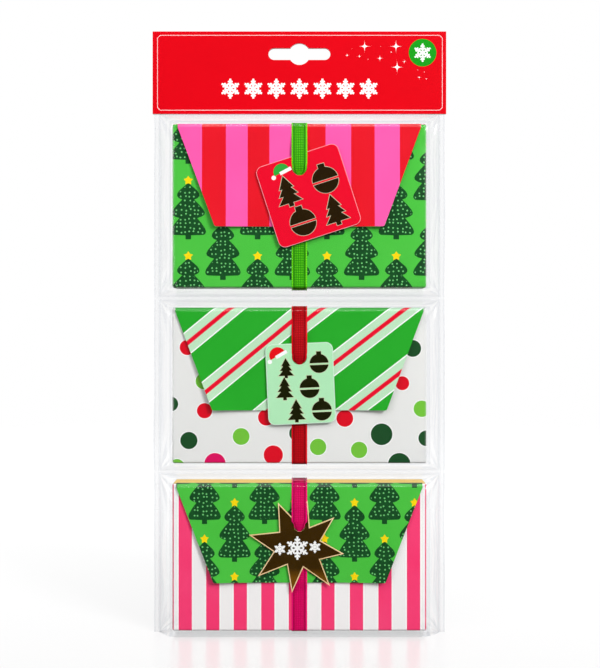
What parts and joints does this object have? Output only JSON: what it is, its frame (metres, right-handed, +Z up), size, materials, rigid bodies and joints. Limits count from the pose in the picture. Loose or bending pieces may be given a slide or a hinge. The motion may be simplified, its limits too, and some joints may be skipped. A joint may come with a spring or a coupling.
{
  "type": "gift card holder",
  "caption": "Hanging retail pack of printed gift card boxes with fold-up flaps, ribbons and swinging gift tags, in a clear film bag under a slotted header card.",
  "frame": {"origin": "centre of the pack's foot, on the surface it stands on", "axes": "+Z up towards the header card, +X to the viewer's right, the printed front faces -Y"},
  "size_m": [0.1478, 0.0188, 0.3024],
  "materials": {
    "header_red": "gloss printed board",
    "tape": "double-sided tape",
    "film": "clear film",
    "insert_white": "white board",
    "glue": "clear glue dot",
    "top_print": "printed board, fir trees on green",
    "middle_print": "printed board, dots on white",
    "bottom_print": "printed board, pink stripes on white",
    "top_flap_print": "printed board, pink and red stripes",
    "middle_flap_print": "printed board, slanted bands on green",
    "bottom_flap_print": "printed board, fir trees on green",
    "top_ribbon_green": "woven ribbon",
    "middle_ribbon_crimson": "woven ribbon",
    "bottom_ribbon_magenta": "woven ribbon",
    "top_tag_red": "gloss card with foil",
    "middle_tag_mint": "gloss card with foil",
    "bottom_tag_gold": "mirror foil card"
  },
  "bodies": {
    "pack": {"header_card": "header_red", "header_tape": "tape", "bag_back_web": "film", "bag_front_web": "film", "ribbon_dots": "glue", "top_carton": "top_print", "top_card_insert": "insert_white", "top_ribbon_back": "top_ribbon_green", "middle_carton": "middle_print", "middle_card_insert": "insert_white", "middle_ribbon_back": "middle_ribbon_crimson", "bottom_carton": "bottom_print", "bottom_card_insert": "insert_white", "bottom_ribbon_back": "bottom_ribbon_magenta"},
    "top_flap_body": {"top_flap": "top_flap_print", "top_ribbon": "top_ribbon_green", "top_window": "film"},
    "top_tag_body": {"top_tag": "top_tag_red"},
    "middle_flap_body": {"middle_flap": "middle_flap_print", "middle_ribbon": "middle_ribbon_crimson", "middle_window": "film"},
    "middle_tag_body": {"middle_tag": "middle_tag_mint"},
    "bottom_flap_body": {"bottom_flap": "bottom_flap_print", "bottom_ribbon": "bottom_ribbon_magenta", "bottom_window": "film"},
    "bottom_tag_body": {"bottom_tag": "bottom_tag_gold"}
  },
  "joints": [
    {"name": "top_flap_fold", "type": "hinge", "parent": "pack", "child": "top_flap_body", "pos_m": [0, -0.00692, 0.2543], "axis": [-1, 0, 0], "range_deg": [0, 90]},
    {"name": "top_tag_swing", "type": "hinge", "parent": "top_flap_body", "child": "top_tag_body", "pos_m": [0, -0.00808, 0.2325], "axis": [0, -1, 0], "range_deg": [-40, 7]},
    {"name": "middle_flap_fold", "type": "hinge", "parent": "pack", "child": "middle_flap_body", "pos_m": [0, -0.00692, 0.1627], "axis": [-1, 0, 0], "range_deg": [0, 90]},
    {"name": "middle_tag_swing", "type": "hinge", "parent": "middle_flap_body", "child": "middle_tag_body", "pos_m": [0, -0.00808, 0.1386], "axis": [0, -1, 0], "range_deg": [-27, 22]},
    {"name": "bottom_flap_fold", "type": "hinge", "parent": "pack", "child": "bottom_flap_body", "pos_m": [0, -0.00692, 0.0753], "axis": [-1, 0, 0], "range_deg": [0, 90]},
    {"name": "bottom_tag_swing", "type": "hinge", "parent": "bottom_flap_body", "child": "bottom_tag_body", "pos_m": [0, -0.00808, 0.0548], "axis": [0, -1, 0], "range_deg": [-25, 25]}
  ]
}
